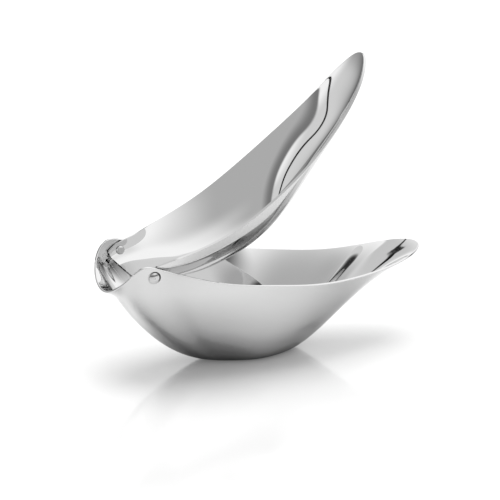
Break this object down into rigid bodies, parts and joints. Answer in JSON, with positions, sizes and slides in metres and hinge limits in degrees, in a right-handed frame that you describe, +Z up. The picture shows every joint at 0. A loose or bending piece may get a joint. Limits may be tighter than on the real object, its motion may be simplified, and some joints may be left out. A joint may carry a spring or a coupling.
{
  "type": "hinged lemon squeezer",
  "caption": "Hinged citrus squeezer of polished sheet steel: a leaf-shaped bowl with flat foot and pouring lip, and a leaf-shaped press lever on hinge pins through the ears.",
  "frame": {"origin": "middle of the flat foot, on the surface that it stands on", "axes": "+X towards the handle tip, +Y to the right ear seen from the hinge end, +Z up; the pin axis lies along Y"},
  "size_m": [0.1411, 0.0504, 0.122],
  "materials": {
    "polished_steel": "mirror polished stainless sheet",
    "pin_steel": "polished stainless rivet",
    "washer_steel": "plain stainless washer"
  },
  "bodies": {
    "bowl": {"lower_shell": "polished_steel", "left_hinge_pin": "pin_steel", "right_hinge_pin": "pin_steel", "left_spacer_washer": "washer_steel", "right_spacer_washer": "washer_steel"},
    "press_lever": {"upper_shell": "polished_steel"}
  },
  "joints": [
    {"name": "lever_hinge", "type": "hinge", "parent": "bowl", "child": "press_lever", "pos_m": [-0.05, 0, 0.046], "axis": [0, -1, 0], "range_deg": [-38.5, 55]}
  ]
}
